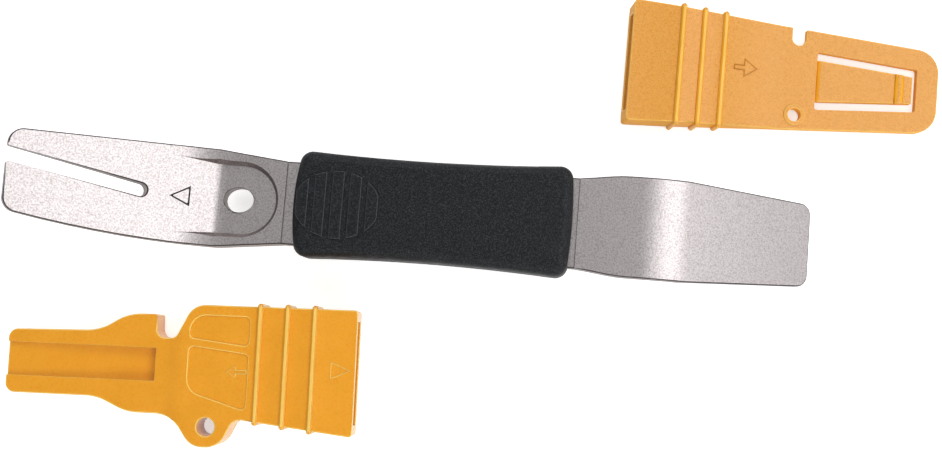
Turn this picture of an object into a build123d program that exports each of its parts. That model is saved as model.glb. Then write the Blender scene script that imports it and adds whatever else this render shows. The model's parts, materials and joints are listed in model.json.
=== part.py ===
from build123d import *

import math
import os

# Disc brake multi-tool: a steel bar with a rotor truing fork bent up at one end and a
# piston press blade bent down at the other, a rubber grip round its middle, and two
# moulded covers. The pad spacer covers the press blade and the bleed block covers the
# fork. Here both covers lie taken off, beside the tool, on the surface it lies on.
# Sizes are in millimetres. X runs along the tool towards the press blade and Z is up.

# Steel bar
bar_thickness = 6.0
bar_fork_width = 24.6
bar_press_width = 24.9
seat_past_grip_left = 2.4
seat_past_grip_right = 1.2
neck_width_left = 20.8
neck_width_right = 22.3
seat_depth = 0.5
blank_half = 30.0

# Rotor truing fork
fork_angle = 32.0
fork_bend_x = 57.5
fork_length = 48.4
fork_root_thickness = 4.2
fork_tip_thickness = 2.6
fork_bend_radius = 30.0
fork_tip_upper = 10.9
fork_tip_lower = 8.6
fork_mid_lower = 11.5
fork_corner_radius = 3.6
slot_root = 16.3
slot_root_y = -0.15
slot_mouth_y = 4.73
slot_width = 3.3
slot_mouth_width = 3.6
prong_corner_radius = 0.6

# Recess and hanging hole beside the fork
recess_depth = 1.8
recess_radius = 8.6
recess_centre_x = 48.4
recess_run = 12.0
recess_spread = 1.4
recess_wall_lean = 28.0
recess_bend_radius = 6.0
hang_hole_x = 49.4
hang_hole_length = 7.7
hang_hole_width = 6.3

# Piston press blade
press_angle = 25.0
press_corner_x = 57.7
press_length = 41.0
press_bend_radius = 28.0
press_root_thickness = 5.2
press_tip_thickness = 2.2
press_tip_width = 20.9
press_corner_radius = 3.0
under_bend_radius = 20.0
bend_overlap = 4.5
fork_overlap = 2.0
fork_flat = 3.0
neck_flare = 0.08

# Rubber grip
grip_length = 69.6
grip_thickness = 12.0
grip_left_width = 26.8
grip_waist_width = 25.0
grip_right_width = 27.7
grip_waist_x = -3.0
grip_end_bulge = 1.5
grip_corner_radius = 3.2
grip_edge_radius = 2.6
pad_from_end = 11.4
pad_length = 21.8
pad_width = 17.0
pad_rib_count = 5
pad_rib_pitch = 4.4
pad_rib_width = 3.0
pad_rib_height = 0.5

# Both covers
cover_clearance = 0.5
rib_width = 1.3
rib_height = 0.8
rib_rounding = 0.35
rib_count = 3
mouth_corner_radius = 0.8
pocket_corner_radius = 1.2
moulded_edge = 0.5

# Pad spacer
spacer_length = 80.4
spacer_mouth_width = 31.0
spacer_waist_x = 41.0
spacer_waist_width = 26.6
spacer_tip_width = 21.0
spacer_corner_radius = 6.0
spacer_height = 8.5
spacer_slope_start = 12.6
spacer_slope_end = 39.0
spacer_plate = 2.0
spacer_blend_radius = 20.0
spacer_pocket_depth = 27.0
spacer_rib_start = 12.6
spacer_rib_pitch = 5.6
spacer_notch_x = 43.6
spacer_notch_width = 3.6
spacer_notch_depth = 4.4
spacer_hole_x = 43.5
spacer_hole_y = -9.4
spacer_hole_radius = 1.65
spacer_ring_radius = 2.75
spacer_ring_height = 0.4

# Spring tongue of the pad spacer
tongue_root_x = 48.6
tongue_past_tip = 6.7
tongue_root_width = 10.8
tongue_tip_width = 7.0
tongue_slot_width = 2.1
tongue_end_gap = 1.1
tongue_hinge_gap = 0.12
window_corner_radius = 0.6
tongue_bump_x = 70.2
tongue_bump_width = 2.4
tongue_bump_height = 0.7

# Bleed block
block_length = 86.6
block_sleeve_height = 9.5
block_height = 8.2
block_ramp_start = 46.9
block_ramp_end = 43.6
block_pocket_depth = 42.0
sleeve_high = 15.6
sleeve_taper = 0.3
sleeve_low = 15.6
sleeve_low_inner = 12.4
sleeve_shoulder_x = 40.8
shoulder_radius = 5.0
neck_notch_x = 47.25
neck_notch_width = 4.7
neck_notch_y = 6.8
notch_radius = 2.0
block_shoulder_x = 49.9
block_flank_x = 57.0
block_flank_low_x = 56.0
block_narrow_x = 63.8
shoulder_high = 12.5
shoulder_low = 11.9
flank_radius = 12.0
narrow_high = 8.0
narrow_low = 8.3
narrow_taper = 0.6
block_corner_radius = 2.3
ear_start_x = 44.8
ear_side_x = 29.3
ear_radius = 5.0
ear_flank = 1.5
ear_corner_radius = 5.2
ear_blend_left = 8.0
ear_blend_right = 3.0
ramp_blend_radius = 12.0
block_rib_start = 10.55
block_rib_pitch = 6.76
block_hole_x = -36.1
block_hole_y = -14.6
block_hole_radius = 2.25
channel_width = 8.2
channel_y = 0.1
channel_end_x = 49.6
channel_shallow = 0.9
channel_deep = 2.6
panel_depth = 0.4
panel_left_x = 41.3
panel_right_x = 26.6
panel_high = 12.7
panel_low = 10.3
panel_low_slant = 4.4
panel_bar_y = 6.1
panel_bar_slant = 1.6
panel_bar_width = 2.1
panel_corner_radius = 1.2
panel_outer_radius = 4.0

# Where the pieces lie on the surface, seen from above
grip_at = (-12.2, 1.9)
spacer_mouth_at = (34.0, 44.9)
spacer_turn = -0.8
block_mouth_at = (-28.0, -39.2)
block_turn = 1.9

bar_top = bar_thickness / 2
bar_neck_left = grip_length / 2 + seat_past_grip_left
bar_neck_right = grip_length / 2 + seat_past_grip_right
recess_floor = bar_top - recess_depth
pad_x = pad_from_end - grip_length / 2
tongue_tip_x = spacer_length - tongue_past_tip


def fork_point(along, depth):
    """A point of the fork's side view: along its top face from the bend, and below it."""
    a = math.radians(fork_angle)
    x = -fork_bend_x - along * math.cos(a) - depth * math.sin(a)
    return (x, bar_top + along * math.sin(a) - depth * math.cos(a))


def press_point(along, depth):
    """The same for the press blade, along its top face from where it meets the bar's."""
    a = math.radians(press_angle)
    x = press_corner_x + along * math.cos(a) - depth * math.sin(a)
    return (x, bar_top - along * math.sin(a) - depth * math.cos(a))


def at_height(start, end, height):
    """Where the line through two points of the side view comes to a height."""
    share = (height - start[1]) / (end[1] - start[1])
    return (start[0] + share * (end[0] - start[0]), height)


def between(start, end, share):
    """A value part of the way from one to the other."""
    return start + share * (end - start)


# Side view of the steel, from which its lean on the surface follows
press_tangent = press_bend_radius * math.tan(math.radians(press_angle / 2))
fork_tip_top = fork_point(fork_length, 0)
fork_tip_under = fork_point(fork_length, fork_tip_thickness)
fork_root_under = fork_point(slot_root, fork_root_thickness)
press_tip_top = press_point(press_length, 0)
press_tip_under = press_point(press_length, press_tip_thickness)
press_root_under = press_point(press_tangent, press_root_thickness)
fork_under_corner = at_height(fork_tip_under, fork_root_under, -bar_top)
press_under_corner = at_height(press_tip_under, press_root_under, -bar_top)

# The tool lies on the heel of its grip and on the edge of its press blade
heel = (-grip_length / 2 + grip_edge_radius, -grip_thickness / 2)
lean = math.atan2(heel[1] - press_tip_under[1], press_tip_under[0] - heel[0])
tool_height = -(heel[0] * math.sin(lean) + heel[1] * math.cos(lean))
tool_place = Location((*grip_at, tool_height), (0, -math.degrees(lean), 0))


def cover_place(mouth, turn, rib, end):
    """A cover lies on its lowest rib and its far end: each has a distance and a depth."""
    tip_down = math.atan2(rib[1] - end[1], abs(end[0]) - rib[0])
    side = 1 if end[0] > 0 else -1
    height = rib[1] * math.cos(tip_down) + rib[0] * math.sin(tip_down)
    level = Location((*mouth, height), (0, 0, turn))
    return level * Location((0, 0, 0), (0, side * math.degrees(tip_down), 0))


block_last_rib = block_rib_start + (rib_count - 1) * block_rib_pitch
spacer_place = cover_place(
    spacer_mouth_at,
    spacer_turn,
    (spacer_rib_start, spacer_height / 2 + rib_height),
    (spacer_length, spacer_plate / 2),
)
block_place = cover_place(
    block_mouth_at,
    block_turn,
    (block_last_rib, block_sleeve_height / 2 + rib_height),
    (-block_length, block_height / 2),
)


def on(place, plane):
    """A plane of a piece's own frame, where the piece lies."""
    return Plane(place * plane.location)


def near(shapes, *points):
    """The shapes nearest to some points."""
    return [shapes.sort_by_distance(Vector(*p))[0] for p in points]


fork_rad = math.radians(fork_angle)
fork_face = Plane(
    origin=(-fork_bend_x, 0, bar_top),
    x_dir=(-math.cos(fork_rad), 0, math.sin(fork_rad)),
    z_dir=(-math.sin(fork_rad), 0, -math.cos(fork_rad)),
)
press_rad = math.radians(press_angle)
press_face = Plane(
    origin=(press_corner_x, 0, bar_top),
    x_dir=(math.cos(press_rad), 0, -math.sin(press_rad)),
    z_dir=(math.sin(press_rad), 0, math.cos(press_rad)),
)
slot_rad = math.atan2(slot_mouth_y - slot_root_y, fork_length - slot_root)
slot_run = fork_length - slot_root + slot_width


def slot_point(along, across):
    """A point of the rotor slot, along its own centre line from the root's centre."""
    s = slot_root + along * math.cos(slot_rad) - across * math.sin(slot_rad)
    return (s, slot_root_y + along * math.sin(slot_rad) + across * math.cos(slot_rad))


fork_half = bar_fork_width / 2
press_half = bar_press_width / 2

# The steel's outline, square to each of its three flat runs, as it was blanked and bent
with BuildPart() as outline:
    with BuildSketch(on(tool_place, fork_face.offset(-blank_half))) as fork_plan:
        with BuildLine():
            Line((-fork_overlap, fork_half), (bend_overlap, fork_half))
            Line((bend_overlap, fork_half), (fork_length, fork_tip_upper))
            Line((fork_length, fork_tip_upper), (fork_length, -fork_tip_lower))
            ThreePointArc(
                (fork_length, -fork_tip_lower),
                (fork_length / 2, -fork_mid_lower),
                (bend_overlap, -fork_half),
            )
            Line((bend_overlap, -fork_half), (-fork_overlap, -fork_half))
            Line((-fork_overlap, -fork_half), (-fork_overlap, fork_half))
        make_face()
        with BuildLine():
            root_high = slot_point(0, slot_width / 2)
            root_low = slot_point(0, -slot_width / 2)
            ThreePointArc(root_high, slot_point(-slot_width / 2, 0), root_low)
            mouth_high = slot_point(slot_run, slot_mouth_width / 2)
            mouth_low = slot_point(slot_run, -slot_mouth_width / 2)
            Polyline(root_high, mouth_high, mouth_low, root_low)
        make_face(mode=Mode.SUBTRACT)
        outer = near(
            fork_plan.vertices(), (fork_length, fork_tip_upper), (fork_length, -fork_tip_lower)
        )
        fillet(outer, radius=fork_corner_radius)
        mouth = (fork_length - slot_root) / math.cos(slot_rad)
        inner = near(
            fork_plan.vertices(),
            slot_point(mouth, slot_mouth_width / 2),
            slot_point(mouth, -slot_mouth_width / 2),
        )
        fillet(inner, radius=prong_corner_radius)
    extrude(amount=2 * blank_half)
    with BuildSketch(on(tool_place, Plane.XY.offset(-blank_half))):
        with BuildLine():
            bend_left = (-fork_bend_x - fork_overlap, fork_half)
            flat_left = (-fork_bend_x + fork_flat, fork_half)
            neck_left = (-bar_neck_left, neck_width_left / 2)
            neck_right = (bar_neck_right, neck_width_right / 2)
            flat_right = (press_corner_x - 2 * bend_overlap, press_half)
            Polyline(bend_left, flat_left, neck_left, neck_right)
            Spline(neck_right, flat_right, tangents=((1, neck_flare), (1, 0)))
            Line(flat_right, (press_corner_x, press_half))
            Line((press_corner_x, press_half), (press_corner_x, 0))
            mirror(about=Plane.XZ)
            Line(bend_left, (bend_left[0], -bend_left[1]))
        make_face()
    extrude(amount=2 * blank_half)
    with BuildSketch(on(tool_place, press_face.offset(-blank_half))) as press_plan:
        with BuildLine():
            Line((-bend_overlap, 0), (-bend_overlap, press_half))
            Line((-bend_overlap, press_half), (press_tangent, press_half))
            Line((press_tangent, press_half), (press_length, press_tip_width / 2))
            Line((press_length, press_tip_width / 2), (press_length, 0))
            mirror(about=Plane.XZ)
        make_face()
        tips = near(
            press_plan.vertices(),
            (press_length, press_tip_width / 2),
            (press_length, -press_tip_width / 2),
        )
        fillet(tips, radius=press_corner_radius)
    extrude(amount=2 * blank_half)

# The recess beside the fork: its floor runs out into the fork's top face, between rails
# that the bend lifts, and its walls lean outwards
floor_left = at_height(fork_point(0, 0), fork_point(1, 0), recess_floor)
floor_end = -recess_depth / math.sin(fork_rad)
fork_up = Plane(origin=fork_face.origin, x_dir=fork_face.x_dir, z_dir=-fork_face.z_dir)
recess_bend = Plane(
    origin=(floor_left[0], 0, recess_floor),
    z_dir=(math.cos(fork_rad / 2), 0, -math.sin(fork_rad / 2)),
)

with BuildPart() as recess_round:
    with BuildSketch(on(tool_place, Plane.XY.offset(recess_floor))):
        with BuildLine():
            past_bend = floor_left[0] - 2 * recess_depth
            Line((past_bend, recess_radius), (-recess_centre_x, recess_radius))
            ThreePointArc(
                (-recess_centre_x, recess_radius),
                (-recess_centre_x + recess_radius, 0),
                (-recess_centre_x, -recess_radius),
            )
            Line((-recess_centre_x, -recess_radius), (past_bend, -recess_radius))
            Line((past_bend, -recess_radius), (past_bend, recess_radius))
        make_face()
    extrude(amount=2 * recess_depth, taper=-recess_wall_lean)
    split(bisect_by=on(tool_place, recess_bend), keep=Keep.TOP)

with BuildPart() as recess_arms:
    with BuildSketch(on(tool_place, fork_up)):
        with BuildLine():
            arm_y = recess_radius + recess_spread
            before_bend = floor_end - 2 * recess_depth
            Polyline(
                (before_bend, recess_radius),
                (floor_end, recess_radius),
                (recess_run, arm_y),
                (recess_run, -arm_y),
                (floor_end, -recess_radius),
                (before_bend, -recess_radius),
                close=True,
            )
        make_face()
    extrude(amount=2 * recess_depth, taper=-recess_wall_lean)
    split(bisect_by=on(tool_place, recess_bend), keep=Keep.BOTTOM)

with BuildPart() as recess:
    add(recess_round.part)
    add(recess_arms.part)
    # the floor bends up in a soft curve
    with BuildSketch(on(tool_place, Plane.XZ)):
        with BuildLine():
            reach = recess_bend_radius * math.tan(fork_rad / 2)
            floor_flat = (floor_left[0] + reach, recess_floor)
            floor_risen = fork_point(floor_end + reach, 0)
            TangentArc(floor_flat, floor_risen, tangent=(-1, 0))
            Polyline(floor_risen, floor_left, floor_flat)
        make_face()
    extrude(amount=blank_half, both=True, mode=Mode.SUBTRACT)

with BuildPart() as tool_body:
    # side view of the whole bar, bent and tapered
    with BuildSketch(on(tool_place, Plane.XZ)) as side:
        with BuildLine():
            Polyline(
                fork_tip_top,
                (-fork_bend_x, bar_top),
                (press_corner_x, bar_top),
                press_tip_top,
                press_tip_under,
                press_under_corner,
                fork_under_corner,
                fork_tip_under,
                close=True,
            )
        make_face()
        fillet(near(side.vertices(), (-fork_bend_x, bar_top)), radius=fork_bend_radius)
        fillet(near(side.vertices(), (press_corner_x, bar_top)), radius=press_bend_radius)
        unders = near(side.vertices(), fork_under_corner, press_under_corner)
        fillet(unders, radius=under_bend_radius)
    extrude(amount=blank_half, both=True)
    add(outline.part, mode=Mode.INTERSECT)
    add(recess.part, mode=Mode.SUBTRACT)
    # thinner seat under the grip, with a step at each end
    for top in (bar_top - seat_depth, -bar_top):
        with BuildSketch(on(tool_place, Plane.XY.offset(top))):
            with Locations(((bar_neck_right - bar_neck_left) / 2, 0)):
                Rectangle(bar_neck_left + bar_neck_right, 2 * blank_half)
        extrude(amount=seat_depth, mode=Mode.SUBTRACT)
    # hanging hole through the recess floor
    with BuildSketch(on(tool_place, Plane.XY)):
        with Locations((-hang_hole_x, 0)):
            Ellipse(hang_hole_length / 2, hang_hole_width / 2)
    extrude(amount=bar_thickness, both=True, mode=Mode.SUBTRACT)
tool_body.part.label = "tool_body"

grip_left = (-grip_length / 2 + grip_end_bulge, grip_left_width / 2)
grip_right = (grip_length / 2 - grip_end_bulge / 2, grip_right_width / 2)

with BuildPart() as grip_sleeve:
    with BuildSketch(on(tool_place, Plane.XY)) as grip_plan:
        with BuildLine():
            ThreePointArc(grip_left, (grip_waist_x, grip_waist_width / 2), grip_right)
            mirror(about=Plane.XZ)
            ThreePointArc(
                (grip_left[0], -grip_left[1]), (-grip_length / 2, 0), grip_left
            )
            ThreePointArc(
                grip_right, (grip_length / 2, 0), (grip_right[0], -grip_right[1])
            )
        make_face()
        fillet(grip_plan.vertices(), radius=grip_corner_radius)
    extrude(amount=grip_thickness / 2, both=True)
    flat = grip_sleeve.faces().sort_by(Axis.Z)
    fillet(flat[-1].edges() + flat[0].edges(), radius=grip_edge_radius)
    # ribbed pad for the thumb, in an oval
    with BuildSketch(on(tool_place, Plane.XY.offset(grip_thickness / 2 - pad_rib_height))):
        with Locations((pad_x, 0)):
            with GridLocations(pad_rib_pitch, pad_rib_pitch, pad_rib_count, 1):
                Rectangle(pad_rib_width, pad_width)
            Ellipse(pad_length / 2, pad_width / 2, mode=Mode.INTERSECT)
    extrude(amount=2 * pad_rib_height)
    add(tool_body.part, mode=Mode.SUBTRACT)
grip_sleeve.part.label = "grip_sleeve"


def belt(place, x, low, high, half_height):
    """One belt of a cover: its section round the sleeve, standing proud on all sides."""
    with BuildPart(mode=Mode.PRIVATE) as ring:
        with BuildSketch(on(place, Plane.YZ.offset(x - rib_width / 2))):
            with Locations(((low + high) / 2, 0)):
                RectangleRounded(
                    high - low + 2 * rib_height, 2 * (half_height + rib_height), rib_height
                )
        extrude(amount=rib_width)
        along = on(place, Plane.YZ)
        sides = ring.faces().sort_by(Axis(along.origin, along.z_dir))
        chamfer(sides[0].edges() + sides[-1].edges(), length=rib_rounding)
    return ring.part


def spacer_half(x):
    """Half the pad spacer's width at a distance from its mouth."""
    if x < spacer_waist_x:
        return between(spacer_mouth_width, spacer_waist_width, x / spacer_waist_x) / 2
    share = (x - spacer_waist_x) / (spacer_length - spacer_waist_x)
    return between(spacer_waist_width, spacer_tip_width, share) / 2


def spacer_half_height(x):
    """Half the pad spacer's height at a distance from its mouth."""
    share = (x - spacer_slope_start) / (spacer_slope_end - spacer_slope_start)
    return between(spacer_height, spacer_plate, min(max(share, 0), 1)) / 2


def tongue_edge(x):
    """Half the tongue's width at a distance from the pad spacer's mouth."""
    share = (x - tongue_root_x) / (tongue_tip_x - tongue_root_x)
    return between(tongue_root_width, tongue_tip_width, share) / 2


# the blade's width and thickness at a distance back from its tip, for its cover's pocket
blade_share = (spacer_pocket_depth - cover_clearance) / (press_length - bend_overlap)
blade_half = between(press_tip_width, bar_press_width, blade_share) / 2
blade_thick = between(press_tip_thickness, press_root_thickness, blade_share)
slot_end_x = tongue_tip_x + tongue_end_gap

with BuildPart() as pad_spacer:
    with BuildSketch(on(spacer_place, Plane.XZ)) as side:
        with BuildLine():
            Line((0, 0), (0, spacer_height / 2))
            Line((0, spacer_height / 2), (spacer_slope_start, spacer_height / 2))
            Line((spacer_slope_start, spacer_height / 2), (spacer_slope_end, spacer_plate / 2))
            Line((spacer_slope_end, spacer_plate / 2), (spacer_length, spacer_plate / 2))
            Line((spacer_length, spacer_plate / 2), (spacer_length, 0))
            mirror(about=Plane.XZ)
        make_face()
        fillet(
            near(
                side.vertices(),
                (spacer_slope_end, spacer_plate / 2),
                (spacer_slope_end, -spacer_plate / 2),
            ),
            radius=spacer_blend_radius,
        )
    extrude(amount=spacer_mouth_width, both=True)
    with BuildSketch(on(spacer_place, Plane.XY)) as plan:
        with BuildLine():
            Line((0, 0), (0, spacer_mouth_width / 2))
            Line((0, spacer_mouth_width / 2), (spacer_waist_x, spacer_waist_width / 2))
            Line((spacer_waist_x, spacer_waist_width / 2), (spacer_length, spacer_tip_width / 2))
            Line((spacer_length, spacer_tip_width / 2), (spacer_length, 0))
            mirror(about=Plane.XZ)
        make_face()
        tips = near(
            plan.vertices(),
            (spacer_length, spacer_tip_width / 2),
            (spacer_length, -spacer_tip_width / 2),
        )
        fillet(tips, radius=spacer_corner_radius)
        mouths = near(
            plan.vertices(), (0, spacer_mouth_width / 2), (0, -spacer_mouth_width / 2)
        )
        fillet(mouths, radius=mouth_corner_radius)
    extrude(amount=spacer_height, both=True, mode=Mode.INTERSECT)
    for i in range(rib_count):
        x = spacer_rib_start + i * spacer_rib_pitch
        add(belt(spacer_place, x, -spacer_half(x), spacer_half(x), spacer_half_height(x)))
    # pocket for the blade, wider and higher at the mouth
    with BuildSketch(on(spacer_place, Plane.YZ)):
        RectangleRounded(
            2 * (blade_half + cover_clearance),
            blade_thick + 2 * cover_clearance,
            pocket_corner_radius,
        )
    with BuildSketch(on(spacer_place, Plane.YZ.offset(spacer_pocket_depth))):
        RectangleRounded(
            press_tip_width + 2 * cover_clearance,
            press_tip_thickness + 2 * cover_clearance,
            pocket_corner_radius,
        )
    loft(mode=Mode.SUBTRACT)
    # notch in the upper edge, with a round bottom
    with BuildSketch(on(spacer_place, Plane.XY)):
        notch_y = spacer_half(spacer_notch_x) - spacer_notch_depth + spacer_notch_width / 2
        with Locations((spacer_notch_x, notch_y)):
            Circle(spacer_notch_width / 2)
        with Locations((spacer_notch_x, notch_y + spacer_notch_depth)):
            Rectangle(spacer_notch_width, 2 * spacer_notch_depth)
    extrude(amount=spacer_height, both=True, mode=Mode.SUBTRACT)
    # hole for a cord, in a raised ring
    with BuildSketch(on(spacer_place, Plane.XY)):
        with Locations((spacer_hole_x, spacer_hole_y)):
            Circle(spacer_ring_radius)
    extrude(amount=spacer_plate / 2 + spacer_ring_height, both=True)
    with BuildSketch(on(spacer_place, Plane.XY)):
        with Locations((spacer_hole_x, spacer_hole_y)):
            Circle(spacer_hole_radius)
    extrude(amount=spacer_height, both=True, mode=Mode.SUBTRACT)
    # window round the tongue, and its root
    with BuildSketch(on(spacer_place, Plane.XY)) as window:
        with BuildLine():
            root_y = tongue_edge(tongue_root_x) + tongue_slot_width
            end_y = tongue_edge(slot_end_x) + tongue_slot_width
            Polyline(
                (tongue_root_x, root_y),
                (slot_end_x, end_y),
                (slot_end_x, -end_y),
                (tongue_root_x, -root_y),
                close=True,
            )
        make_face()
        fillet(window.vertices(), radius=window_corner_radius)
    extrude(amount=spacer_plate, both=True, mode=Mode.SUBTRACT)
pad_spacer.part.label = "pad_spacer"


with BuildPart() as spacer_tongue:
    # the root is rounded about the line that the tongue bends on
    with BuildSketch(on(spacer_place, Plane.XZ)) as side:
        with BuildLine():
            root = tongue_root_x + tongue_hinge_gap
            axis_x = root + spacer_plate / 2
            half = spacer_plate / 2
            ThreePointArc((axis_x, half), (root, 0), (axis_x, -half))
            Polyline((axis_x, -half), (tongue_tip_x, -half), (tongue_tip_x, half), (axis_x, half))
        make_face()
    extrude(amount=tongue_root_width, both=True)
    with BuildSketch(on(spacer_place, Plane.XZ)):
        with Locations((tongue_bump_x, half)):
            Ellipse(tongue_bump_width / 2, tongue_bump_height)
    extrude(amount=tongue_root_width, both=True)
    with BuildSketch(on(spacer_place, Plane.XY)) as plan:
        with BuildLine():
            Polyline(
                (tongue_root_x, tongue_edge(tongue_root_x)),
                (tongue_tip_x, tongue_edge(tongue_tip_x)),
                (tongue_tip_x, -tongue_edge(tongue_tip_x)),
                (tongue_root_x, -tongue_edge(tongue_root_x)),
                close=True,
            )
        make_face()
    extrude(amount=spacer_height, both=True, mode=Mode.INTERSECT)
spacer_tongue.part.label = "spacer_tongue"


# the fork's own sizes at the mouth of its cover
fork_inside = block_pocket_depth - cover_clearance
fork_share = fork_inside / (fork_length - slot_root)
fork_thick = between(fork_tip_thickness, fork_root_thickness, fork_share)
low_share = fork_inside / (fork_length - bend_overlap)

# the space that the fork slides into, narrower and lower towards the fork's tip
with BuildPart() as fork_pocket:
    with BuildSketch(on(block_place, Plane.XZ)):
        with BuildLine():
            mouth_half = fork_thick / 2 + cover_clearance
            end_half = fork_tip_thickness / 2 + cover_clearance
            Polyline(
                (0, mouth_half),
                (-block_pocket_depth, end_half),
                (-block_pocket_depth, -end_half),
                (0, -mouth_half),
                close=True,
            )
        make_face()
    extrude(amount=bar_fork_width, both=True)
    with BuildSketch(on(block_place, Plane.XY)) as plan:
        with BuildLine():
            high_mouth = between(fork_tip_upper, fork_half, low_share) + cover_clearance
            Polyline(
                (0, high_mouth),
                (-block_pocket_depth, fork_tip_upper + cover_clearance),
                (-block_pocket_depth, -fork_tip_lower - cover_clearance),
                (0, -fork_half - cover_clearance),
                close=True,
            )
        make_face()
        ends = near(
            plan.vertices(),
            (-block_pocket_depth, fork_tip_upper + cover_clearance),
            (-block_pocket_depth, -fork_tip_lower - cover_clearance),
        )
        fillet(ends, radius=fork_corner_radius)
    extrude(amount=block_sleeve_height, both=True, mode=Mode.INTERSECT)

with BuildPart() as bleed_block:
    with BuildSketch(on(block_place, Plane.XZ)) as side:
        with BuildLine():
            sleeve_top = (-block_ramp_end, block_sleeve_height / 2)
            neck_top = (-block_ramp_start, block_height / 2)
            Line((0, 0), (0, block_sleeve_height / 2))
            Polyline((0, block_sleeve_height / 2), sleeve_top, neck_top)
            Polyline(neck_top, (-block_length, block_height / 2), (-block_length, 0))
            mirror(about=Plane.XZ)
        make_face()
        for x, z in (sleeve_top, neck_top):
            fillet(near(side.vertices(), (x, z), (x, -z)), radius=ramp_blend_radius)
    extrude(amount=block_length, both=True)
    # its outline, with the ear for a cord
    with BuildSketch(on(block_place, Plane.XY)) as plan:
        ear_foot = block_hole_y - ear_radius
        corners = (
            (0, sleeve_high, mouth_corner_radius),
            (-sleeve_shoulder_x, sleeve_high - sleeve_taper, shoulder_radius),
            (-neck_notch_x + neck_notch_width / 2, neck_notch_y, notch_radius),
            (-neck_notch_x - neck_notch_width / 2, neck_notch_y, notch_radius),
            (-block_shoulder_x, shoulder_high, moulded_edge),
            (-block_flank_x, shoulder_high, flank_radius),
            (-block_narrow_x, narrow_high, flank_radius),
            (-block_length, narrow_high - narrow_taper, block_corner_radius),
            (-block_length, -narrow_low, block_corner_radius),
            (-block_narrow_x, -narrow_low, flank_radius),
            (-block_flank_low_x, -shoulder_low, flank_radius),
            (-ear_start_x, -shoulder_low, ear_blend_left),
            (block_hole_x - ear_radius + ear_flank, ear_foot, ear_corner_radius),
            (block_hole_x + ear_radius - ear_flank, ear_foot, ear_corner_radius),
            (-ear_side_x, -sleeve_low_inner, ear_blend_right),
            (0, -sleeve_low, mouth_corner_radius),
        )
        with BuildLine():
            Polyline(*((x, y) for x, y, r in corners), close=True)
        make_face()
        for x, y, r in corners:
            fillet(near(plan.vertices(), (x, y)), radius=r)
    extrude(amount=block_sleeve_height, both=True, mode=Mode.INTERSECT)
    with BuildSketch(on(block_place, Plane.XY)):
        with Locations((block_hole_x, block_hole_y)):
            Circle(block_hole_radius)
    extrude(amount=block_sleeve_height, both=True, mode=Mode.SUBTRACT)
    for i in range(rib_count):
        x = block_rib_start + i * block_rib_pitch
        low = between(sleeve_low, sleeve_low_inner, x / ear_side_x)
        high = sleeve_high - sleeve_taper * x / sleeve_shoulder_x
        add(belt(block_place, -x, -low, high, block_sleeve_height / 2))
    add(fork_pocket.part, mode=Mode.SUBTRACT)
    # channel along the top of the solid end, deeper towards the sleeve and open at the end
    with BuildSketch(on(block_place, Plane.XZ.offset(-channel_y))):
        with BuildLine():
            top = block_height / 2
            Polyline(
                (-block_length, top - channel_shallow),
                (-channel_end_x, top - channel_deep),
                (-channel_end_x, block_height),
                (-block_length, block_height),
                close=True,
            )
        make_face()
    extrude(amount=channel_width / 2, both=True, mode=Mode.SUBTRACT)
    # two sunk panels in the sleeve's top, with a slanted bar left between them
    sunk = block_sleeve_height / 2 - panel_depth
    bar_left = (-panel_left_x, panel_bar_y)
    bar_right = (-panel_right_x, panel_bar_y - panel_bar_slant)
    with BuildSketch(on(block_place, Plane.XY.offset(sunk))) as panels:
        with BuildLine():
            Polyline(
                (bar_left[0], bar_left[1] + panel_bar_width / 2),
                (bar_right[0], bar_right[1] + panel_bar_width / 2),
                (-panel_right_x, panel_high),
                (-panel_left_x, panel_high),
                close=True,
            )
        make_face()
        with BuildLine():
            Polyline(
                (bar_left[0], bar_left[1] - panel_bar_width / 2),
                (bar_right[0], bar_right[1] - panel_bar_width / 2),
                (-panel_right_x, -panel_low),
                (-panel_left_x, -panel_low + panel_low_slant),
                close=True,
            )
        make_face()
        for x, y, r in (
            (-panel_left_x, panel_high, panel_outer_radius),
            (-panel_left_x, bar_left[1] + panel_bar_width / 2, panel_corner_radius),
            (-panel_right_x, bar_right[1] + panel_bar_width / 2, panel_corner_radius),
            (-panel_right_x, panel_high, panel_corner_radius),
            (-panel_left_x, bar_left[1] - panel_bar_width / 2, panel_corner_radius),
            (-panel_right_x, bar_right[1] - panel_bar_width / 2, panel_corner_radius),
            (-panel_right_x, -panel_low, panel_corner_radius),
            (-panel_left_x, -panel_low + panel_low_slant, panel_outer_radius),
        ):
            fillet(near(panels.vertices(), (x, y)), radius=r)
    extrude(amount=block_sleeve_height, mode=Mode.SUBTRACT)
bleed_block.part.label = "bleed_block"


os.makedirs("parts", exist_ok=True)
for piece in (tool_body, grip_sleeve, pad_spacer, spacer_tongue, bleed_block):
    export_step(piece.part, f"parts/{piece.part.label}.step")
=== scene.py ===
import json
import math

import bmesh
import bpy
from mathutils import Matrix, Vector
from mathutils.bvhtree import BVHTree


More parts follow.
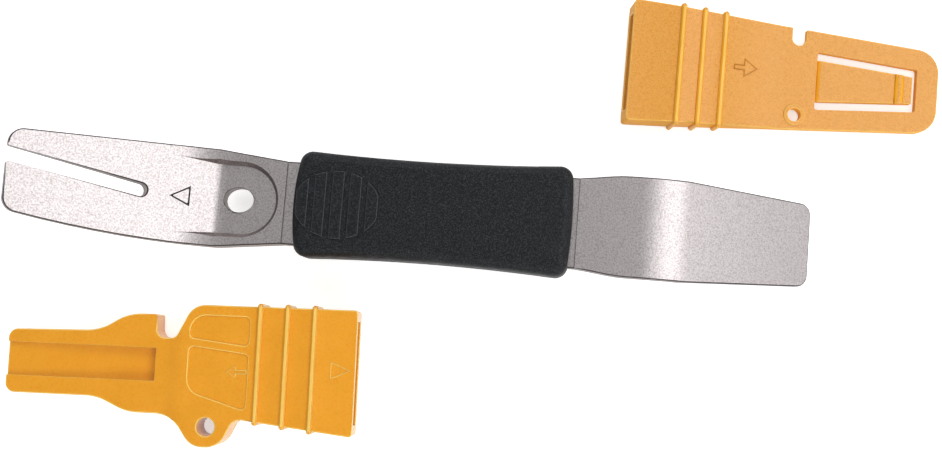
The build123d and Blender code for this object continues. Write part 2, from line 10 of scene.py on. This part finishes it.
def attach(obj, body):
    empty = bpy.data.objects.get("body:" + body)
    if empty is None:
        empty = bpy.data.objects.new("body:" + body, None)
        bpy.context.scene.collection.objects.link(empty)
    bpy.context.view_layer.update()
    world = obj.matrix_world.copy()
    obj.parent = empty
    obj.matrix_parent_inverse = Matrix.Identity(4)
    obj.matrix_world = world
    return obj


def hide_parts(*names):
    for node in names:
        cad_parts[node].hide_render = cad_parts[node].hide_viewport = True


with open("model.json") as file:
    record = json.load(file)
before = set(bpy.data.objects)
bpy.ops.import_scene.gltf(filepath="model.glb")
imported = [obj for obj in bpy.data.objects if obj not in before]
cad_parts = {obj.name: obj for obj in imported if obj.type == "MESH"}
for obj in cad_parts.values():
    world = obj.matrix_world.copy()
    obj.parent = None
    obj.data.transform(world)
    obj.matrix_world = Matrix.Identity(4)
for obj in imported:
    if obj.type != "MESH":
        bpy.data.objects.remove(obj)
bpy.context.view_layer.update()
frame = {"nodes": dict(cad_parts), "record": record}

# The set lies on the floor as the photograph shows it, seen from nearly straight above.
# Everything below is in metres.

PHOTO_WIDTH = 942
FOCAL_PIXELS = 1350
SENSOR_MM = 36
CAMERA_AT = Vector((-0.0001, -0.0311, 0.3445))
CAMERA_ROLL = math.radians(4.5)
CAMERA_TILT = math.radians(5.29)

record = frame["record"]
mounts = {m["name"]: m for m in record["mounts"]}
joints = {j["name"]: j for j in record["behaviour"]["joints"]}


def add_camera():
    """A camera above the set, turned and tilted as the photograph's was."""
    data = bpy.data.cameras.new("camera")
    data.sensor_width = SENSOR_MM
    data.lens = FOCAL_PIXELS / PHOTO_WIDTH * SENSOR_MM
    data.clip_start = 0.01
    camera = bpy.data.objects.new("camera", data)
    bpy.context.scene.collection.objects.link(camera)
    right = Vector((math.cos(CAMERA_ROLL), math.sin(CAMERA_ROLL), 0))
    across = Vector((-math.sin(CAMERA_ROLL), math.cos(CAMERA_ROLL), 0))
    up_axis = Vector((0, 0, 1))
    look = across * math.sin(CAMERA_TILT) - up_axis * math.cos(CAMERA_TILT)
    top = across * math.cos(CAMERA_TILT) + up_axis * math.sin(CAMERA_TILT)
    turn = Matrix((right, top, -look)).transposed()
    camera.matrix_world = Matrix.Translation(CAMERA_AT) @ turn.to_4x4()
    bpy.context.scene.camera = camera


add_camera()
bpy.context.scene.view_settings.view_transform = "Standard"


def local_axes(origin, x_dir, z_dir):
    """A matrix from a piece's own axes to the row's."""
    z = Vector(z_dir).normalized()
    x = Vector(x_dir)
    x = (x - x.dot(z) * z).normalized()
    turn = Matrix((x, z.cross(x), z)).transposed()
    return Matrix.Translation(Vector(origin)) @ turn.to_4x4()


# Node material helpers

def new_material(name):
    material = bpy.data.materials.new(name)
    material.use_nodes = True
    nodes = material.node_tree.nodes
    shader = nodes["Principled BSDF"]
    return material, nodes, material.node_tree.links, shader


def grain_group():
    """Fine random grain in Object coordinates: a height and a mask, at a given scale."""
    group = bpy.data.node_groups.new("surface_grain", "ShaderNodeTree")
    face = group.interface
    face.new_socket("Scale", in_out="INPUT", socket_type="NodeSocketFloat")
    face.new_socket("Detail", in_out="INPUT", socket_type="NodeSocketFloat")
    face.new_socket("Height", in_out="OUTPUT", socket_type="NodeSocketFloat")
    face.new_socket("Mottle", in_out="OUTPUT", socket_type="NodeSocketFloat")
    nodes, links = group.nodes, group.links
    start = nodes.new("NodeGroupInput")
    end = nodes.new("NodeGroupOutput")
    place = nodes.new("ShaderNodeTexCoord")
    fine = nodes.new("ShaderNodeTexNoise")
    links.new(place.outputs["Object"], fine.inputs["Vector"])
    links.new(start.outputs["Scale"], fine.inputs["Scale"])
    links.new(start.outputs["Detail"], fine.inputs["Detail"])
    fine.inputs["Roughness"].default_value = 0.62
    coarse_scale = nodes.new("ShaderNodeMath")
    coarse_scale.operation = "MULTIPLY"
    coarse_scale.inputs[1].default_value = 0.12
    links.new(start.outputs["Scale"], coarse_scale.inputs[0])
    coarse = nodes.new("ShaderNodeTexNoise")
    links.new(place.outputs["Object"], coarse.inputs["Vector"])
    links.new(coarse_scale.outputs[0], coarse.inputs["Scale"])
    links.new(fine.outputs["Fac"], end.inputs["Height"])
    links.new(coarse.outputs["Fac"], end.inputs["Mottle"])
    return group


GRAIN = grain_group()
GRAIN_HEIGHT = 0.0001


def add_grain(nodes, scale, detail):
    grain = nodes.new("ShaderNodeGroup")
    grain.node_tree = GRAIN
    grain.inputs["Scale"].default_value = scale
    grain.inputs["Detail"].default_value = detail
    return grain


def add_bump(nodes, links, height, shader, strength):
    bump = nodes.new("ShaderNodeBump")
    bump.inputs["Strength"].default_value = strength
    bump.inputs["Distance"].default_value = GRAIN_HEIGHT
    links.new(height, bump.inputs["Height"])
    links.new(bump.outputs["Normal"], shader.inputs["Normal"])


def mix_colours(nodes, links, mask, low, high, low_at, high_at):
    """Two colours, mixed by a mask that is stretched between two levels."""
    ramp = nodes.new("ShaderNodeValToRGB")
    ramp.color_ramp.elements[0].position = low_at
    ramp.color_ramp.elements[1].position = high_at
    ramp.color_ramp.elements[0].color = (*low, 1)
    ramp.color_ramp.elements[1].color = (*high, 1)
    links.new(mask, ramp.inputs["Fac"])
    return ramp.outputs["Color"]


def remap(nodes, links, value, low, high):
    stretch = nodes.new("ShaderNodeMapRange")
    stretch.inputs["From Min"].default_value = 0.3
    stretch.inputs["From Max"].default_value = 0.7
    stretch.inputs["To Min"].default_value = low
    stretch.inputs["To Max"].default_value = high
    links.new(value, stretch.inputs["Value"])
    return stretch.outputs["Result"]


def grained(
    name, scale, detail, relief, tone_by, dark, light, rough_by, rough, tone_range=(0.3, 0.7)
):
    """A material whose tone, roughness and relief all follow one grain."""
    material, nodes, links, shader = new_material(name)
    grain = add_grain(nodes, scale, detail)
    colour = mix_colours(nodes, links, grain.outputs[tone_by], dark, light, *tone_range)
    links.new(colour, shader.inputs["Base Color"])
    roughness = remap(nodes, links, grain.outputs[rough_by], *rough)
    links.new(roughness, shader.inputs["Roughness"])
    add_bump(nodes, links, grain.outputs["Height"], shader, relief)
    return material, shader


def satin_steel():
    """Tumbled stainless steel: a fine grain in height, gloss and tone."""
    material, shader = grained(
        "satin_steel", scale=2500, detail=5, relief=0.5,
        tone_by="Height", dark=(0.47, 0.42, 0.42), light=(0.75, 0.70, 0.705),
        tone_range=(0.36, 0.58), rough_by="Height", rough=(0.38, 0.30),
    )
    shader.inputs["Metallic"].default_value = 1.0
    return material


def dull_shaded_steel(name, dark, light):
    """The steel's blanked walls and broken edges: duller than its faces, and painted darker,
    mostly as painted shade and partly as the real darker sheared steel.
    """
    material, shader = grained(
        name, scale=1500, detail=3, relief=0.4,
        tone_by="Height", dark=dark, light=light, rough_by="Mottle", rough=(0.45, 0.55),
    )
    shader.inputs["Metallic"].default_value = 1.0
    return material


def black_rubber(name, dark, light):
    """Black rubber with a dry surface and a few pale specks."""
    material, shader = grained(
        name, scale=3000, detail=3, relief=0.35,
        tone_by="Height", dark=dark, light=light,
        tone_range=(0.46, 0.70), rough_by="Mottle", rough=(0.5, 0.62),
    )
    shader.inputs["Specular IOR Level"].default_value = 0.25
    return material


def moulded_plastic(name, dark, light, scale, tone_by):
    """Tough moulded plastic with a slightly dimpled gloss, and a fine or a cloudy tone."""
    material, shader = grained(
        name, scale=scale, detail=2, relief=0.10,
        tone_by=tone_by, dark=dark, light=light, rough_by="Height", rough=(0.24, 0.34),
    )
    shader.inputs["Subsurface Weight"].default_value = 0.12
    shader.inputs["Subsurface Radius"].default_value = (0.004, 0.0015, 0.0005)
    shader.inputs["Subsurface Scale"].default_value = 0.5
    return material


def plastic_wall(name, dark, light, rough_low, specular):
    """The moulding's side walls: without the faces' dimples, matt or polished, in a colour
    apart from the faces' that is painted light on the walls and painted shade on the spacer's
    arrow.
    """
    material, shader = grained(
        name, scale=900, detail=2, relief=0.04,
        tone_by="Mottle", dark=dark, light=light,
        rough_by="Mottle", rough=(rough_low, rough_low + 0.1),
    )
    shader.inputs["Specular IOR Level"].default_value = specular
    return material


def plastic_edge_highlight(name, dark, light):
    """The moulding's rounded edges: glossier, and painted paler as a painted highlight."""
    material, shader = grained(
        name, scale=900, detail=2, relief=0.05,
        tone_by="Mottle", dark=dark, light=light, rough_by="Height", rough=(0.16, 0.24),
    )
    return material


FINISHES = {
    "steel": satin_steel(),
    "grip_rubber": black_rubber("grip_rubber", (0.005, 0.006, 0.007), (0.042, 0.046, 0.052)),
    "spacer_plastic": moulded_plastic(
        "spacer_orange", (0.70, 0.29, 0.034), (0.83, 0.40, 0.075), 2600, "Height"
    ),
    "block_plastic": moulded_plastic(
        "block_amber", (0.85, 0.355, 0.013), (0.90, 0.38, 0.019), 1500, "Mottle"
    ),
}
# A slot's side walls and rounded edges, where they differ from its faces: their colours are
# painted light and shade
PAINTED_WALLS = {
    # Steel walls: painted shade, darker than the steel's faces
    "steel": dull_shaded_steel("cut_steel_painted_shade", (0.15, 0.13, 0.125), (0.30, 0.265, 0.255)),
    # Grip walls: painted shade, darker than the rubber's faces
    "grip_rubber": black_rubber("grip_side_painted_shade", (0.004, 0.004, 0.005), (0.016, 0.016, 0.018)),
    # Spacer walls: painted light, brighter and more saturated than the faces, so they stay
    # golden where the lamps light them less
    "spacer_plastic": plastic_wall(
        "spacer_wall_painted_light", (0.88, 0.38, 0.012), (0.95, 0.43, 0.018), 0.5, 0.2
    ),
    # Block walls: painted light, a little paler than the faces, on top of their real gloss
    "block_plastic": plastic_wall(
        "block_wall_painted_light", (0.86, 0.40, 0.03), (0.92, 0.44, 0.04), 0.2, 0.6
    ),
}
PAINTED_EDGES = {
    # Steel edges: near black, a painted dark reflection and painted shade, partly the real
    # darker sheared steel; the fork's engraved mark takes it too
    "steel": dull_shaded_steel("edge_steel_painted_shade", (0.045, 0.04, 0.04), (0.10, 0.088, 0.085)),
    # Grip edges: painted highlight, paler than the rubber's faces
    "grip_rubber": black_rubber("grip_edge_painted_highlight", (0.035, 0.039, 0.045), (0.075, 0.082, 0.092)),
    # Plastic edges, belt tops and the block's signs: painted highlight, paler than the faces
    "spacer_plastic": plastic_edge_highlight("spacer_edge_painted_highlight", (0.90, 0.50, 0.07), (0.95, 0.55, 0.10)),
    "block_plastic": plastic_edge_highlight("block_edge_painted_highlight", (0.93, 0.57, 0.10), (0.97, 0.65, 0.14)),
}
BODY_OF = {
    node: body for body, nodes in record["behaviour"]["bodies"].items() for node in nodes
}


# Signs: beads of round section that follow a line of points

MM = 0.001
BEAD_SIDES = 12


def bead_tree():
    """Sweeps a round bead along the lines of a mesh; its radius and finish are inputs."""
    tree = bpy.data.node_groups.new("bead_along_line", "GeometryNodeTree")
    face = tree.interface
    face.new_socket("Line", in_out="INPUT", socket_type="NodeSocketGeometry")
    radius = face.new_socket("Radius", in_out="INPUT", socket_type="NodeSocketFloat")
    finish = face.new_socket("Finish", in_out="INPUT", socket_type="NodeSocketMaterial")
    face.new_socket("Bead", in_out="OUTPUT", socket_type="NodeSocketGeometry")
    nodes, links = tree.nodes, tree.links
    start, end = nodes.new("NodeGroupInput"), nodes.new("NodeGroupOutput")
    line = nodes.new("GeometryNodeMeshToCurve")
    ring = nodes.new("GeometryNodeCurvePrimitiveCircle")
    ring.inputs["Resolution"].default_value = BEAD_SIDES
    sweep = nodes.new("GeometryNodeCurveToMesh")
    sweep.inputs["Fill Caps"].default_value = True
    real = nodes.new("GeometryNodeRealizeInstances")
    paint = nodes.new("GeometryNodeSetMaterial")
    links.new(start.outputs["Line"], line.inputs["Mesh"])
    links.new(start.outputs["Radius"], ring.inputs["Radius"])
    links.new(line.outputs["Curve"], sweep.inputs["Curve"])
    links.new(ring.outputs["Curve"], sweep.inputs["Profile Curve"])
    links.new(sweep.outputs["Mesh"], real.inputs["Geometry"])
    links.new(real.outputs["Geometry"], paint.inputs["Geometry"])
    links.new(start.outputs["Finish"], paint.inputs["Material"])
    links.new(paint.outputs["Geometry"], end.inputs["Bead"])
    return tree, radius.identifier, finish.identifier


BEAD, BEAD_RADIUS, BEAD_FINISH = bead_tree()


def settle(piece, modifier):
    """Turns what a modifier makes into the piece's plain mesh, and takes the modifier off."""
    seen = piece.evaluated_get(bpy.context.evaluated_depsgraph_get())
    made = bpy.data.meshes.new_from_object(seen)
    piece.modifiers.remove(modifier)
    piece.data = made


def bead(name, corners, place, radius, finish):
    """A closed bead through some corners, given in millimetres in a piece's own axes."""
    count = len(corners)
    mesh = bpy.data.meshes.new(name)
    points = [place @ (Vector(corner) * MM) for corner in corners]
    mesh.from_pydata(points, [(i, (i + 1) % count) for i in range(count)], [])
    piece = bpy.data.objects.new(name, mesh)
    bpy.context.scene.collection.objects.link(piece)
    sweep = piece.modifiers.new("bead", "NODES")
    sweep.node_group = BEAD
    sweep[BEAD_RADIUS] = radius * MM
    sweep[BEAD_FINISH] = finish
    settle(piece, sweep)
    piece.data.shade_smooth()
    return piece


def triangle(base, half_width, apex):
    """A flat triangle's corners: where its base lies, how wide it is and where it points."""
    x, y = base
    return [(x, y + half_width), apex, (x, y - half_width)]


def arrow(tail, tip, shaft, head, head_length):
    """The outline of an arrow along X, from its tail to its tip."""
    x, y = tail
    neck = tip[0] - math.copysign(head_length, tip[0] - x)
    return [
        (x, y - shaft), (neck, y - shaft), (neck, y - head), tip,
        (neck, y + head), (neck, y + shaft), (x, y + shaft),
    ]


# Each piece's own axes, from the record's holes, slides and rest

GRIP_HALF_MM = 6.0
rest = mounts["grip_underside"]
tool_axes = local_axes(rest["pos_m"], (1, 0, 0), [-c for c in rest["axis"]])
tool_axes = tool_axes @ Matrix.Translation((0, 0, GRIP_HALF_MM * MM))


def cover_axes(hole, hole_at, slide, side):
    """A cover's axes: its mouth is the origin and it reaches along X or back from it."""
    mount = mounts[hole]
    axes = local_axes(mount["pos_m"], [side * c for c in joints[slide]["axis"]], mount["axis"])
    return axes @ Matrix.Translation((-hole_at[0] * MM, -hole_at[1] * MM, 0))


spacer_axes = cover_axes("spacer_cord_hole", (43.5, -9.4), "spacer_pull_off", 1)
block_axes = cover_axes("block_cord_hole", (-36.1, -14.6), "block_pull_off", -1)

# The fork's top face, from its bend: X runs up it and Z stands out of it
FORK_BEND_MM = (-57.5, 0, 3.0)
FORK_RISE = math.radians(32)
fork_axes = tool_axes @ Matrix.Translation(Vector(FORK_BEND_MM) * MM)
fork_axes = fork_axes @ Matrix.Rotation(FORK_RISE, 4, "Y")

# The pad spacer's top slopes down from behind its belts
SPACER_TOP_MM = (12.6, 0, 4.25)
SPACER_FALL = math.atan2(4.25 - 1.0, 39.0 - 12.6)
slope_axes = spacer_axes @ Matrix.Translation(Vector(SPACER_TOP_MM) * MM)
slope_axes = slope_axes @ Matrix.Rotation(SPACER_FALL, 4, "Y")

HIGH_ABOVE_MM = 20


def laid_on(node, corners, place):
    """Drops each corner of a sign straight down onto its piece, in the sign's own axes."""
    mesh = frame["nodes"][node].data
    faces = [tuple(face.vertices) for face in mesh.polygons]
    solid = BVHTree.FromPolygons([v.co for v in mesh.vertices], faces)
    back = place.inverted()
    down = -place.col[2].to_3d()
    laid = []
    for x, y in corners:
        above = place @ (Vector((x, y, HIGH_ABOVE_MM)) * MM)
        touch = solid.ray_cast(above, down)[0]
        laid.append((x, y, (back @ touch).z / MM))
    return laid


# The spacer's raised arrow: painted shade, darker than the plastic around it
PAINTED_SHADE_MARKS = {
    "spacer_plastic": plastic_wall(
        "spacer_mark", (0.56, 0.22, 0.028), (0.62, 0.245, 0.034), 0.62, 0.12
    ),
}
RAISED_SIGNS = (
    (
        "spacer_arrow", "pad_spacer", slope_axes,
        arrow((14.4, 1.2), (20.5, 1.2), 0.55, 2.2, 3.4), 0.22, PAINTED_SHADE_MARKS,
    ),
    # The block's raised arrow and triangle take the edge finish: painted highlight
    (
        "block_arrow", "bleed_block", block_axes,
        arrow((-26.9, -0.85), (-31.8, -0.85), 0.4, 1.3, 2.2), 0.2, PAINTED_EDGES,
    ),
    (
        "block_triangle", "bleed_block", block_axes,
        triangle((-6.0, 0.55), 2.05, (-1.34, 0.65)), 0.22, PAINTED_EDGES,
    ),
)
FORK_MARK = triangle((-4.1, -0.3), 2.25, (-8.75, -0.63))
FORK_MARK_RADIUS = 0.42

# The pieces, with their edges rounded as the real ones are

MERGE_WITHIN = 2e-6
FLAT_WITHIN = math.radians(0.5)

# How wide each piece's rounds are, and which edges get them
EDGE_ROUNDING = {
    "tool_body": 0.0003,
    "grip_sleeve": 0.00025,
    "pad_spacer": 0.00022,
    "spacer_tongue": 0.00022,
    "bleed_block": 0.00028,
}
ROUND_STEPS = 3
SHORTEST_EDGE = 0.0001
SHARP_FROM = math.radians(40)
SQUARE_FROM = math.radians(70)
SLANTED_SHARE = 0.35
PLAIN_SLANTED = ("tool_body",)
LOWEST_WALL = {"tool_body": 0.0002}

# Low walls, whose rounds are only a share as wide. On the block they keep the faces' finish
SHALLOW_WALL = {"tool_body": (0, 0.00065), "bleed_block": (0.0012, 0.004)}
SHALLOW_SHARE = 0.28
PLAIN_POCKETS = ("bleed_block",)

# A second, very fine round, which keeps the shading clean where the recess meets the bend
CREASED = ("tool_body",)
CREASE_WIDTH = 0.00015
CREASE_STEPS = 2

RIBBED = ("pad_spacer", "bleed_block")
RIB_WIDTH = 0.0012
RIB_FALL = math.radians(30)
FACING_UP = 0.9
SMOOTH_UP_TO = math.radians(62)
FLATTEN = 100

# Where the walls' and the edges' finishes, with their painted light and shade, stand in a
# piece's materials, after its faces'
WALL_FINISH, EDGE_FINISH = 1, 2

# A face is a wall, and takes the wall finish with its painted light and shade, when its
# normal's upward share is below this
WALL_BELOW = {
    "tool_body": 0.62,
    "grip_sleeve": 0.25,
    "pad_spacer": 0.75,
    "spacer_tongue": 0.97,
    "bleed_block": 0.35,
}


def shallow(node, depth):
    """Whether a wall of this height is one of the piece's low ones."""
    low, high = SHALLOW_WALL.get(node, (0, 0))
    return low < depth < high


def mark_outer_edges(joined, node):
    """Only edges that stand out get rounded: square ones fully, slanted and low ones less."""
    layers = joined.edges.layers.float
    weight = layers.get("bevel_weight_edge") or layers.new("bevel_weight_edge")
    for edge in joined.edges:
        edge[weight] = 0.0
        if not (edge.is_manifold and edge.is_convex):
            continue
        depth = min(face.calc_area() for face in edge.link_faces) / edge.calc_length()
        if edge.calc_length() < SHORTEST_EDGE or depth < LOWEST_WALL.get(node, 0):
            continue
        turn = edge.calc_face_angle()
        if turn > SQUARE_FROM:
            edge[weight] = SHALLOW_SHARE if shallow(node, depth) else 1.0
        elif turn > SHARP_FROM:
            edge[weight] = 0.0 if node in PLAIN_SLANTED else SLANTED_SHARE


def mark_rib_tops(joined, node):
    """The narrow tops of a cover's belts, which stand out between two falling sides; they take
    the edge finish's painted highlight.
    """
    layers = joined.faces.layers.bool
    rib_top = layers.get("rib_top") or layers.new("rib_top")
    for face in joined.faces:
        long_sides = sorted(face.edges, key=lambda edge: -edge.calc_length())[:2]
        width = face.calc_area() / long_sides[0].calc_length()
        proud = all(e.is_convex and e.calc_face_angle(0) > RIB_FALL for e in long_sides)
        narrow = width < RIB_WIDTH and face.normal.z > FACING_UP
        face[rib_top] = node in RIBBED and proud and narrow


def whole_mesh(node, name):
    """A copy of a node's mesh, with its triangles joined up."""
    joined = bmesh.new()
    joined.from_mesh(frame["nodes"][node].data)
    bmesh.ops.remove_doubles(joined, verts=joined.verts, dist=MERGE_WITHIN)
    bmesh.ops.dissolve_limit(
        joined, angle_limit=FLAT_WITHIN, verts=joined.verts, edges=joined.edges
    )
    mesh = bpy.data.meshes.new(name)
    joined.to_mesh(mesh)
    joined.free()
    return mesh


def mark_rounds_and_highlit_tops(mesh, node):
    """Notes in the mesh which edges get rounded and which faces are rib tops, which are
    painted with a highlight.
    """
    marked = bmesh.new()
    marked.from_mesh(mesh)
    mark_outer_edges(marked, node)
    mark_rib_tops(marked, node)
    marked.to_mesh(mesh)
    marked.free()


def mark_walls(mesh, node):
    """Side walls get the wall finish, with its painted light and shade, and rib tops the edge
    finish's painted highlight.
    """
    for face in mesh.polygons:
        levels = [mesh.vertices[index].co.z for index in face.vertices]
        sunk = node in PLAIN_POCKETS and shallow(node, max(levels) - min(levels))
        if abs(face.normal.z) < WALL_BELOW[node] and not sunk:
            face.material_index = WALL_FINISH
        # Rib tops: painted highlight
        if mesh.attributes["rib_top"].data[face.index].value:
            face.material_index = EDGE_FINISH


def engrave(piece, corners, place, radius):
    """Cuts a groove of round section into a piece, along a closed line."""
    # The groove takes the steel's near-black edge finish: painted shade in the groove
    cutter = bead(piece.name + "_mark", corners, place, radius, PAINTED_EDGES["steel"])
    cut = piece.modifiers.new("groove", "BOOLEAN")
    cut.object = cutter
    cut.operation = "DIFFERENCE"
    cut.solver = "EXACT"
    cut.material_mode = "TRANSFER"
    settle(piece, cut)
    bpy.data.objects.remove(cutter)


def round_edges(entry):
    """A copy of one piece with a small round on each hard edge, which stands for it."""
    node = entry["node"]
    name = node + "_finished"
    mesh = whole_mesh(node, name)
    piece = bpy.data.objects.new(name, mesh)
    bpy.context.scene.collection.objects.link(piece)
    slot = entry["material_slot"]
    for finish in (FINISHES[slot], PAINTED_WALLS[slot], PAINTED_EDGES[slot]):
        mesh.materials.append(finish)
    mark_rounds_and_highlit_tops(mesh, node)
    mark_walls(mesh, node)
    if slot == "steel":
        engrave(piece, laid_on(node, FORK_MARK, fork_axes), fork_axes, FORK_MARK_RADIUS)
        mark_rounds_and_highlit_tops(piece.data, node)
    piece.data.shade_smooth()
    piece.data.set_sharp_from_angle(angle=SMOOTH_UP_TO)
    bevel = piece.modifiers.new("rounding", "BEVEL")
    bevel.width = EDGE_ROUNDING[node]
    bevel.segments = ROUND_STEPS
    bevel.limit_method = "WEIGHT"
    bevel.use_clamp_overlap = False
    # The rounds take the edge finish: painted shade on the steel, painted highlight elsewhere
    bevel.material = EDGE_FINISH
    if node in CREASED:
        crease = piece.modifiers.new("creases", "BEVEL")
        crease.width = CREASE_WIDTH
        crease.segments = CREASE_STEPS
        crease.limit_method = "ANGLE"
        crease.angle_limit = SHARP_FROM
    level = piece.modifiers.new("flat_faces_stay_flat", "WEIGHTED_NORMAL")
    level.mode = "FACE_AREA"
    level.weight = FLATTEN
    level.keep_sharp = True
    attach(piece, BODY_OF[node])
    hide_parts(node)


for entry in record["subparts"]:
    plain = frame["nodes"][entry["node"]]
    plain.data.materials.clear()
    plain.data.materials.append(FINISHES[entry["material_slot"]])
    round_edges(entry)

for name, node, place, corners, radius, finishes in RAISED_SIGNS:
    slot = next(e["material_slot"] for e in record["subparts"] if e["node"] == node)
    sign = bead(name, laid_on(node, corners, place), place, radius, finishes[slot])
    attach(sign, BODY_OF[node])


# Floor and lights

FLOOR_HALF = 3.0
FLOOR_DROP = 0.0002
FLOOR_LIFT = 0.6


def add_floor():
    """A pale floor just under the set, lifted to white where the camera sees it."""
    mesh = bpy.data.meshes.new("floor")
    signs = [(-1, -1), (1, -1), (1, 1), (-1, 1)]
    corners = [(x * FLOOR_HALF, y * FLOOR_HALF, -FLOOR_DROP) for x, y in signs]
    mesh.from_pydata(corners, [], [(0, 1, 2, 3)])
    floor = bpy.data.objects.new("floor", mesh)
    bpy.context.scene.collection.objects.link(floor)
    material, nodes, links, shader = new_material("pale_floor")
    shader.inputs["Base Color"].default_value = (0.9, 0.9, 0.9, 1)
    shader.inputs["Roughness"].default_value = 0.9
    shader.inputs["Specular IOR Level"].default_value = 0.1
    shader.inputs["Emission Color"].default_value = (1, 1, 1, 1)
    seen = nodes.new("ShaderNodeLightPath")
    lift = nodes.new("ShaderNodeMath")
    lift.operation = "MULTIPLY"
    lift.inputs[1].default_value = FLOOR_LIFT
    either = nodes.new("ShaderNodeMath")
    either.operation = "MAXIMUM"
    links.new(seen.outputs["Is Camera Ray"], either.inputs[0])
    links.new(seen.outputs["Is Glossy Ray"], either.inputs[1])
    links.new(either.outputs[0], lift.inputs[0])
    links.new(lift.outputs[0], shader.inputs["Emission Strength"])
    mesh.materials.append(material)


def add_softbox(name, at, size, power):
    """A rectangular lamp that faces the middle of the set."""
    data = bpy.data.lights.new(name, "AREA")
    data.shape = "RECTANGLE"
    data.size, data.size_y = size
    data.energy = power
    lamp = bpy.data.objects.new(name, data)
    bpy.context.scene.collection.objects.link(lamp)
    lamp.location = at
    lamp.rotation_euler = (-Vector(at)).to_track_quat("-Z", "Y").to_euler()


add_floor()
add_softbox("key", at=(0.366, 0.0, 0.544), size=(1.6, 0.336), power=2.94)
add_softbox("rim_strip", at=(0.96, 0.0, 0.28), size=(1.0, 0.05), power=0.9)
add_softbox("front_fill", at=(0.0, -1.0, 0.9), size=(1.2, 0.7), power=5.6)
add_softbox("back_fill", at=(-0.2, 1.0, 0.9), size=(1.2, 0.7), power=5.6)

WORLD_LOW = 0.10
WORLD_HIGH = 0.34
WORLD_HIGH_FROM = 0.6


def add_world():
    """A plain studio, darker towards the horizon than overhead."""
    world = bpy.data.worlds.new("studio")
    bpy.context.scene.world = world
    world.use_nodes = True
    nodes, links = world.node_tree.nodes, world.node_tree.links
    place = nodes.new("ShaderNodeTexCoord")
    split = nodes.new("ShaderNodeSeparateXYZ")
    links.new(place.outputs["Generated"], split.inputs[0])
    level = nodes.new("ShaderNodeMapRange")
    level.inputs["From Min"].default_value = 0.0
    level.inputs["From Max"].default_value = WORLD_HIGH_FROM
    level.inputs["To Min"].default_value = WORLD_LOW
    level.inputs["To Max"].default_value = WORLD_HIGH
    links.new(split.outputs["Z"], level.inputs["Value"])
    nodes["Background"].inputs["Color"].default_value = (1, 1, 1, 1)
    links.new(level.outputs["Result"], nodes["Background"].inputs["Strength"])


add_world()
